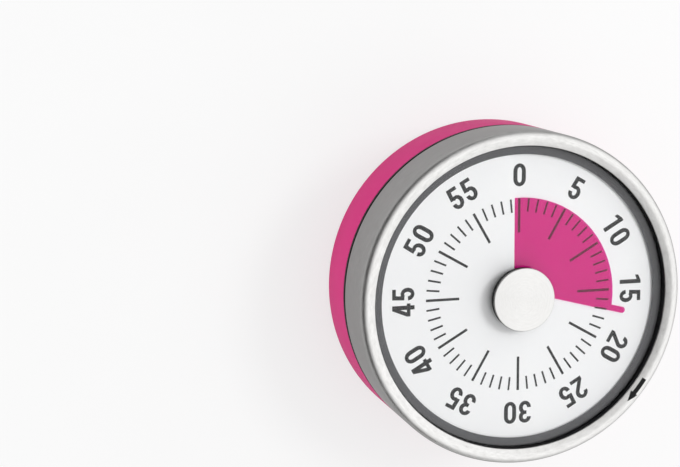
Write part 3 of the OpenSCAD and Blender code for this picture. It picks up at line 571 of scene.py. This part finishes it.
def slot_outline(index, grow):
    """The stadium-shaped outline of one sound slot, made larger all round by grow."""
    half = SLOT_W / 2
    inner = SLOT_START_R + half
    outer = SLOT_START_R + SLOT_LEN - half
    stadium = arc(outer, 0, half + grow, half + grow, -90, 90, EDGE_STEPS)
    stadium += arc(inner, 0, half + grow, half + grow, 90, 270, EDGE_STEPS)
    turn = Matrix.Rotation(2 * math.pi * index / SLOT_COUNT, 2)
    return [turn @ Vector(p) for p in stadium]


def spread(radius, angles):
    """Points on a circle at angles in degrees, counter-clockwise from +X."""
    turns = [math.radians(a) for a in angles]
    return [(radius * math.cos(a), radius * math.sin(a)) for a in turns]


def boss(shell, centre, radius, top, hole):
    """A round boss on the base's floor, with a screw hole of a depth, or none for 0; returns its foot."""
    foot = shell.loop(circle(radius, BASE_FLOOR, centre, SMALL_STEPS))
    rim = shell.loop(circle(radius, top, centre, SMALL_STEPS))
    shell.bridge(foot, rim)
    face = [rim]
    if hole:
        mouth = shell.loop(circle(SCREW_HOLE_R, top, centre, SMALL_STEPS))
        end = shell.loop(circle(SCREW_HOLE_R, top - hole, centre, SMALL_STEPS))
        shell.bridge(mouth, end)
        shell.fill([end], True)
        face.append(mouth)
    shell.fill(face, True)
    return foot


def base_shell():
    """The base as a cup with rounded edges, eased sound slots, wells for the magnets, and posts."""
    well_r = MAGNET_R + MAGNET_SLIP
    shell = Shell()
    corners = [
        (BODY_R, 0.0, BASE_EDGE),
        (BODY_R, WALL_TOP, BASE_TOP_EDGE),
        (SPIGOT_R, WALL_TOP, 0),
        (SPIGOT_R, BASE_HIGH.z, SPIGOT_EDGE),
        (INSIDE_R, BASE_HIGH.z, SPIGOT_EDGE),
        (INSIDE_R, BASE_FLOOR, 0),
        (0.0, BASE_FLOOR, 0),
        (0.0, 0.0, 0),
    ]
    profile = rounded(corners, EDGE_STEPS)[:-2]
    rings = lathe(shell, profile, closed=False)
    back = [rings[0]]
    inside = [rings[-1]]
    for index in range(SLOT_COUNT):
        eased = shell.loop([(x, y, 0.0) for x, y in slot_outline(index, SLOT_CHAMFER)])
        mouth = shell.loop([(x, y, SLOT_CHAMFER) for x, y in slot_outline(index, 0)])
        end = shell.loop([(x, y, BASE_FLOOR) for x, y in slot_outline(index, 0)])
        shell.bridge(mouth, eased)
        shell.bridge(end, mouth)
        back.append(eased)
        inside.append(end)
    for centre in spread(POST_RING_R, POST_ANGLES):
        inside.append(boss(shell, centre, POST_R, REAR_Z, POST_HOLE))
    inside.append(boss(shell, (0.0, 0.0), BELL_BOSS_R, BELL_Z, BELL_HOLE))
    for centre in spread(MAGNET_RING_R, MAGNET_ANGLES):
        inside.append(boss(shell, centre, MAGNET_R + PAD_WALL, MAGNET_HIGH.z + PAD_SKIN, 0))
        eased = shell.loop(circle(well_r + SLOT_CHAMFER, 0.0, centre, SMALL_STEPS))
        mouth = shell.loop(circle(well_r, SLOT_CHAMFER, centre, SMALL_STEPS))
        seat = shell.loop(circle(well_r, MAGNET_HIGH.z, centre, SMALL_STEPS))
        shell.bridge(mouth, eased)
        shell.bridge(seat, mouth)
        shell.fill([seat], False)
        back.append(eased)
    shell.fill(back, False)
    shell.fill(inside, True)
    dress(shell.done("base_shell"), "base", "base_pink", "base_cover")


def glide_sleeve():
    """Painted shade on the base: a black washer seen in the gap below the casing, and a black sleeve over
    the spigot.
    """
    shade_washer_top = WALL_TOP + SHADE_WASHER_DROP + SHADE_WASHER_T
    shade_washer_r = BODY_R - SHADE_WASHER_IN
    top = BASE_HIGH.z + SLEEVE_T
    shell = Shell()
    lathe(shell, rounded([
        (SPIGOT_R - SINK, WALL_TOP - SINK, 0),
        (BODY_R - BASE_TOP_EDGE, WALL_TOP - SINK, 0),
        (shade_washer_r, WALL_TOP, 0),
        (shade_washer_r, shade_washer_top, SHADE_WASHER_EDGE),
        (SPIGOT_R + SLEEVE_T, shade_washer_top, SHADE_WASHER_EDGE),
        (SPIGOT_R + SLEEVE_T, top, SLEEVE_EDGE),
        (INSIDE_R, top, SLEEVE_EDGE),
        (INSIDE_R, BASE_HIGH.z - SINK, 0),
        (SPIGOT_R - SINK, BASE_HIGH.z - SINK, 0),
    ]))
    # The black of washer and sleeve is painted shade in the gap between base and casing
    dress(shell.done("glide_sleeve"), "base", "black_plastic")


def magnet_discs():
    """Plated magnets with eased edges, in their wells."""
    shell = Shell()
    profile = rounded([
        (0.0, MAGNET_LOW.z, 0),
        (MAGNET_R, MAGNET_LOW.z, MAGNET_EDGE),
        (MAGNET_R, MAGNET_HIGH.z, MAGNET_EDGE),
        (0.0, MAGNET_HIGH.z, 0),
    ])
    for centre in spread(MAGNET_RING_R, MAGNET_ANGLES):
        lathe(shell, profile, centre, SMALL_STEPS)
    dress(shell.done("magnet_discs"), "base", "magnet_nickel", "magnets")


# The spring of the hammer


def hammer_leaf():
    """The hammer's leaf spring, welded and cut across into even steps from its collar at the pillar out to
    its tip.
    """
    shape = bmesh.new()
    shape.from_mesh(frame["nodes"]["hammer_spring"].data)
    bmesh.ops.remove_doubles(shape, verts=shape.verts, dist=WELD)
    low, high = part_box("hammer_spring")
    root = Vector((*spread(LEAF_PILLAR_R, [LEAF_PILLAR_ANGLE])[0], (low.z + high.z) / 2))
    tip = max((v.co.copy() for v in shape.verts), key=lambda point: (point - root).length)
    tip.z = root.z
    for i in range(1, LEAF_STEPS):
        whole = shape.verts[:] + shape.edges[:] + shape.faces[:]
        cut = root.lerp(tip, i / LEAF_STEPS)
        bmesh.ops.bisect_plane(shape, geom=whole, plane_co=cut, plane_no=tip - root)
    shape.verts.index_update()
    shell = Shell()
    shell.points = [tuple(v.co) for v in shape.verts]
    shell.faces = [[v.index for v in face.verts] for face in shape.faces]
    shape.free()
    piece = shell.done("hammer_leaf")
    coat(piece, "spring_steel", "hammer_spring")
    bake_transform(piece)


# The casing and its arrow

CREST_R = BODY_R - SHOULDER_R
CREST_Z = CASING_HIGH.z - PRINT_UP
BEZEL_R = BODY_R - BEZEL_W
HEM_TOP = LENS_TOP + LIP_H - PRINT_UP


def bezel_tilt():
    """The slope of the bezel, which runs from its inner edge to touch the round shoulder."""
    run = CREST_R - BEZEL_R
    rise = CREST_Z - SHOULDER_R - HEM_TOP
    reach = math.hypot(run, rise)
    return math.asin(SHOULDER_R / reach) + math.atan2(rise, run)


TILT = bezel_tilt()
SHOULDER_CORNER_Z = HEM_TOP + (BODY_R - BEZEL_R) * math.tan(TILT)
TANGENT_R = CREST_R - SHOULDER_R * math.sin(TILT)


def bezel_z(radius):
    """The height of the bezel's face at a radius, over the shoulder too."""
    if radius < TANGENT_R:
        return HEM_TOP + (radius - BEZEL_R) * math.tan(TILT)
    return CREST_Z - SHOULDER_R + math.sqrt(SHOULDER_R ** 2 - (radius - CREST_R) ** 2)


def under_z(radius):
    """The height of the bezel's underside at a radius."""
    return HEM_TOP + (radius - BEZEL_R) * math.tan(TILT) - STEEL_T / math.cos(TILT)


def casing_skin():
    """The pressed steel ring: straight wall, round shoulder, sloped bezel, and a lip down to the lens."""
    inner_r = BODY_R - STEEL_T
    lip_r = BEZEL_R + HEM_W
    corners = [
        (BODY_R, CASING_LOW.z, CASING_FOOT_EDGE),
        (BODY_R, SHOULDER_CORNER_Z, SHOULDER_R),
        (BEZEL_R, HEM_TOP, BEZEL_EDGE),
        (BEZEL_R, LENS_TOP, LIP_EDGE),
        (lip_r, LENS_TOP, LIP_EDGE),
        (lip_r, under_z(lip_r), LIP_ROOT_EDGE),
        (inner_r, under_z(inner_r), SHOULDER_R - STEEL_T),
        (inner_r, CASING_LOW.z, CASING_INNER_EDGE),
    ]
    shell = Shell()
    lathe(shell, rounded(corners, CASING_STEPS))
    dress(shell.done("casing_skin"), "setting_ring", "casing_steel", "casing")


def lens_gasket():
    """Painted shade: a black ring inside the lip of the casing, on the lens, that darkens the lip's inner
    face.
    """
    top = HEM_TOP - SHADE_GASKET_DROP
    shell = Shell()
    lathe(shell, rounded([
        (BEZEL_R - SHADE_GASKET_T, LENS_TOP, 0),
        (BEZEL_R + SINK, LENS_TOP, 0),
        (BEZEL_R + SINK, top, 0),
        (BEZEL_R - SHADE_GASKET_T, top, SHADE_GASKET_EDGE),
    ]))
    # Its black is painted shade on the inside of the lip
    dress(shell.done("lens_gasket"), "setting_ring", "black_plastic")


def ring_skirt():
    """Painted shade: a black skirt round the dial ring, which closes the view past it into the casing and
    makes that gap dark.
    """
    top = DIAL_RING_HIGH.z - SHADE_SKIRT_DROP
    shell = Shell()
    lathe(shell, rounded([
        (DIAL_RING_HIGH.x - SINK, top - SHADE_SKIRT_T, 0),
        (DIAL_RING_HIGH.x + SHADE_SKIRT_W, top - SHADE_SKIRT_T, SHADE_SKIRT_EDGE),
        (DIAL_RING_HIGH.x + SHADE_SKIRT_W, top, SHADE_SKIRT_EDGE),
        (DIAL_RING_HIGH.x - SINK, top, 0),
    ]))
    # Its black is painted shade in the gap past the dial ring
    dress(shell.done("ring_skirt"), "base", "black_plastic")


def arrow_print():
    """A plain arrow that points clockwise, printed along the bezel and following its curve."""
    steps = [i / ARROW_STEPS for i in range(ARROW_STEPS + 1)]
    taper = ARROW_TIP_W - ARROW_HEAD_W
    sections = [(ARROW_TAIL + (ARROW_HEAD - ARROW_TAIL) * s, ARROW_SHAFT_W) for s in steps]
    sections += [(ARROW_HEAD + (ARROW_TIP - ARROW_HEAD) * s, ARROW_HEAD_W + taper * s) for s in steps]

    def place(turn, radius, lift):
        x, y = turned(radius, turn)
        return x, y, bezel_z(radius) + lift

    shell = Shell()
    rings = []
    for turn, width in sections:
        radii = [ARROW_R + width * (0.5 - i / ARROW_ACROSS) for i in range(ARROW_ACROSS + 1)]
        above = [place(turn, radius, PRINT_UP) for radius in radii]
        below = [place(turn, radius, -PRINT_DOWN) for radius in reversed(radii)]
        rings.append(shell.loop(above + below))
    for low, high in zip(rings, rings[1:]):
        shell.bridge(low, high)
    tail, tip = rings[0], rings[-1]
    for i in range(ARROW_ACROSS):
        shell.faces.append([tip[i], tip[i + 1], tip[-2 - i], tip[-1 - i]])
        shell.faces.append([tail[i + 1], tail[i], tail[-1 - i], tail[-2 - i]])
    dress(shell.done("arrow_print"), "setting_ring", "black_plastic")


# The knob


def knob_top():
    """The knob's brushed cap, with an eased rim."""
    shell = Shell()
    lathe(shell, rounded([
        (0.0, CAP_LOW.z, 0),
        (CAP_R, CAP_LOW.z, CAP_FOOT_EDGE),
        (CAP_R, CAP_HIGH.z, CAP_RIM_EDGE),
        (0.0, CAP_HIGH.z, 0),
    ], EDGE_STEPS))
    dress(shell.done("knob_top"), "setting_ring", "casing_steel", "knob_cap", finish="cap_steel")


# The print of the dial


def on_dial(turn, x, y, lift):
    """A point of print, x beside a radius at an angle and y out along it, lifted off the dial."""
    angle = turn + PRINT_TURN + math.degrees(math.atan2(x, y))
    right, up = turned(math.hypot(x, y), angle)
    right += PRINT_X
    up += PRINT_Y
    seen = math.degrees(math.atan2(right, up))
    climbed = angle + (seen - angle + 180) % 360 - 180
    slit_lead = math.degrees(math.asin(SLIT_OFFSET / DIAL_HOLE_R))
    top = DIAL_LOW.z + DIAL_T + DISC_PITCH * (climbed + slit_lead) / 360
    return right, up, top + lift


def digit_outlines():
    """The outlines of the digits 0 to 5, all of one width; the first loop of each is the outside."""
    width, height = DIGIT_W, DIGIT_H
    mid = width / 2
    hole_x = mid - STEM

    cap = 1.75 * MM
    zero = [
        arc(mid, height - cap, mid, cap, 0, 180) + arc(mid, cap, mid, cap, 180, 360),
        arc(mid, height - cap, hole_x, cap - BAR, 0, 180) + arc(mid, cap, hole_x, cap - BAR, 180, 360),
    ]

    post_x = 1.3 * MM
    post_top_x = post_x + 0.25 * MM
    flag_x = 0.2 * MM
    flag_top = height - 0.65 * MM
    flag_root = height - 1.05 * MM
    flag_low = height - 1.45 * MM
    one = [[
        (post_x, 0), (post_x + STEM, 0), (post_x + STEM, height), (post_top_x, height),
        (flag_x, flag_top), (flag_x, flag_low), (post_x, flag_root),
    ]]

    bowl = 1.6 * MM
    bowl_end = -30
    foot_x = 1.2 * MM
    two = [
        arc(mid, height - bowl, mid, bowl, 180, bowl_end)
        + [(foot_x, BAR), (width, BAR), (width, 0), (0, 0), (0, BAR)]
        + arc(mid, height - bowl, hole_x, bowl - BAR, bowl_end, 180)
    ]

    waist = 2.85 * MM
    waist_turn = 50
    low_ry = (waist + BAR / 2) / 2
    high_ry = (height - waist + BAR / 2) / 2
    high_y = height - high_ry
    stub_x = mid - 0.4 * MM
    three = [
        arc(mid, high_y, mid, high_ry, 180, -waist_turn)
        + arc(mid, low_ry, mid, low_ry, waist_turn, -180)
        + arc(mid, low_ry, hole_x, low_ry - BAR, -180, 90)
        + [(stub_x, waist - BAR / 2), (stub_x, waist + BAR / 2)]
        + arc(mid, high_y, hole_x, high_ry - BAR, -90, 180)
    ]

    bar_y = 1.0 * MM
    bar_top = bar_y + BAR
    stem_x = 1.62 * MM
    stem_end_x = stem_x + STEM
    stem_top_x = stem_x - 0.15 * MM
    shoulder_y = bar_y + 0.85 * MM
    eye_x = 0.98 * MM
    eye_top = 3.46 * MM
    four = [
        [
            (stem_x, 0), (stem_end_x, 0), (stem_end_x, bar_y), (width, bar_y), (width, bar_top),
            (stem_end_x, bar_top), (stem_end_x, height), (stem_top_x, height),
            (0, shoulder_y), (0, bar_y), (stem_x, bar_y),
        ],
        [(stem_x, bar_top), (stem_x, eye_top), (eye_x, bar_top)],
    ]

    belly = 1.72 * MM
    belly_start = 107
    belly_end = -175
    hollow_start = 130
    roof_x = 2.75 * MM
    roof_left = 0.25 * MM
    neck_x = 0.1 * MM
    neck_in_x = 0.85 * MM
    neck_y = 2.5 * MM
    neck_top_x = roof_left + STEM - 0.05 * MM
    five = [
        [(roof_x, height - BAR), (roof_x, height), (roof_left, height)]
        + [(neck_x, neck_y), (neck_in_x, neck_y)]
        + arc(mid, belly, hole_x, belly - BAR, hollow_start, belly_end)
        + arc(mid, belly, mid, belly, belly_end, belly_start)
        + [(neck_top_x, height - BAR)]
    ]
    return [zero, one, two, three, four, five]


def numbers():
    """The numbers at every five minutes, upright along their radius."""
    digits = digit_outlines()
    shell = Shell()
    for minute in range(0, MINUTES, LABEL_STEP):
        turn = 360 * minute / MINUTES
        shapes = [digits[int(mark)] for mark in str(minute)]
        left = -(DIGIT_W * len(shapes) + DIGIT_GAP * (len(shapes) - 1)) / 2
        for outside, *holes in shapes:
            def place(x, y, lift, turn=turn, left=left):
                return on_dial(turn, x + left, y + DIGIT_R, lift)
            loops = [counter_clockwise(outside)]
            loops += [counter_clockwise(hole)[::-1] for hole in holes]
            prism(shell, loops, place)
            left += DIGIT_W + DIGIT_GAP
    dress(shell.done("numbers"), "base", "black_plastic")


def minute_lines():
    """A line at every minute, longer and wider at every fifth."""
    shell = Shell()
    for minute in range(MINUTES):
        labelled = minute % LABEL_STEP == 0
        half = (LONG_TICK_W if labelled else SHORT_TICK_W) / 2
        start = LONG_TICK_R if labelled else SHORT_TICK_R

        def place(x, y, lift, turn=360 * minute / MINUTES):
            return on_dial(turn, x, y, lift)

        prism(shell, [[(-half, start), (half, start), (half, TICK_OUT_R), (-half, TICK_OUT_R)]], place)
    dress(shell.done("minute_lines"), "base", "black_plastic")


# Floor, light and camera

# The floor: its size, its drop below the timer, its tones, and the share of plain white in it as it is seen
FLOOR_R = 3.0
FLOOR_DROP = 0.02 * MM
FLOOR_DARK = (0.79, 0.79, 0.79)
FLOOR_LIGHT = (0.81, 0.81, 0.81)
FLOOR_WHITE = 0.7
# The way the world grows brighter, and how much
WORLD_UP = (1.0, -0.1, 1.0)
WORLD_FADE = {"From Min": -0.15, "From Max": 1.3, "To Min": 0.05, "To Max": 1.37}
# Nothing nearer to the camera than this is drawn
CLIP_START = 10 * MM


def floor():
    """A pale floor that keeps the timer's shadow."""
    shell = Shell()
    rim = shell.loop(circle(FLOOR_R, BASE_LOW.z - FLOOR_DROP, steps=SMALL_STEPS))
    shell.fill([rim], True)
    piece = shell.done("floor")
    finish = Finish("floor_white", {"Roughness": 0.9, "Specular IOR Level": 0.0})
    mottle = finish.noise(finish.coordinates, FLOOR_MOTTLE)
    finish.put(finish.shader, {"Base Color": finish.colours(mottle, FLOOR_DARK, FLOOR_LIGHT)})
    path = finish.add("ShaderNodeLightPath")
    seen = finish.add("ShaderNodeMath", {
        0: path.outputs["Is Camera Ray"], 1: path.outputs["Is Glossy Ray"]}, operation="MAXIMUM")
    shown = finish.add("ShaderNodeMath", {
        0: seen.outputs[0], 1: path.outputs["Is Transmission Ray"]}, operation="MAXIMUM")
    share = finish.add("ShaderNodeMath", {0: shown.outputs[0], 1: FLOOR_WHITE}, operation="MULTIPLY")
    white = finish.add("ShaderNodeEmission", {"Color": (1, 1, 1, 1), "Strength": 1.0})
    mix = finish.add("ShaderNodeMixShader", {
        "Fac": share.outputs[0], 1: finish.shader.outputs["BSDF"], 2: white.outputs["Emission"]})
    finish.put(finish.output, {"Surface": mix.outputs["Shader"]})
    piece.data.materials.append(finish.material)


def world_light():
    """Soft light from above and the right, dim from low down and from the left."""
    world = bpy.data.worlds.new("studio")
    bpy.context.scene.world = world
    world.use_nodes = True
    nodes = world.node_tree.nodes
    links = world.node_tree.links
    place = nodes.new("ShaderNodeTexCoord")
    along = nodes.new("ShaderNodeVectorMath")
    along.operation = "DOT_PRODUCT"
    along.inputs[1].default_value = WORLD_UP
    fade = nodes.new("ShaderNodeMapRange")
    fade.interpolation_type = "SMOOTHSTEP"
    for socket, value in WORLD_FADE.items():
        fade.inputs[socket].default_value = value
    links.new(place.outputs["Generated"], along.inputs[0])
    links.new(along.outputs["Value"], fade.inputs["Value"])
    links.new(fade.outputs["Result"], nodes["Background"].inputs["Strength"])
    nodes["Background"].inputs["Color"].default_value = (1, 1, 1, 1)


def soft_lamp(name, place, size, watts):
    """A lamp of a width and a height that faces the dial, and that metal doesn't mirror."""
    data = bpy.data.lights.new(name, "AREA")
    data.shape = "RECTANGLE"
    data.size, data.size_y = size
    data.energy = watts
    lamp = bpy.data.objects.new(name, data)
    lamp.location = place
    aim = Vector((0, 0, LENS_TOP)) - lamp.location
    lamp.rotation_euler = aim.to_track_quat("-Z", "Y").to_euler()
    lamp.visible_glossy = False
    bpy.context.scene.collection.objects.link(lamp)


def camera():
    """The camera that sees the timer as the photograph does, without shift or blur."""
    turn = Matrix.Rotation(CAMERA_TURN.length, 3, CAMERA_TURN.normalized())
    across = (DIAL_CENTRE_PX[0] - PHOTO_W / 2) / PX_PER_MM * MM
    up = (PHOTO_H / 2 - DIAL_CENTRE_PX[1]) / PX_PER_MM * MM
    data = bpy.data.cameras.new("camera")
    data.sensor_fit = "HORIZONTAL"
    data.sensor_width = SENSOR_W
    data.lens = PX_PER_MM * CAMERA_DISTANCE / MM * SENSOR_W / PHOTO_W
    data.clip_start = CLIP_START
    piece = bpy.data.objects.new("camera", data)
    dial_centre = Vector((0, 0, DIAL_LOW.z + (DIAL_HIGH.z - DIAL_LOW.z) / 2))
    seat = dial_centre - turn.transposed() @ Vector((across, up, -CAMERA_DISTANCE))
    piece.matrix_world = Matrix.Translation(seat) @ turn.transposed().to_4x4()
    bpy.context.scene.collection.objects.link(piece)
    bpy.context.scene.camera = piece


camera()
dress_nodes()
base_shell()
glide_sleeve()
magnet_discs()
hammer_leaf()
casing_skin()
lens_gasket()
ring_skirt()
arrow_print()
knob_top()
numbers()
minute_lines()
floor()
world_light()
soft_lamp("key", place=(0.30, 0.13, 0.50), size=(0.16, 0.16), watts=1.0)
soft_lamp("side", place=(-0.60, 0.12, 0.07), size=(0.60, 0.10), watts=1.9)
bpy.context.scene.view_settings.view_transform = "Standard"
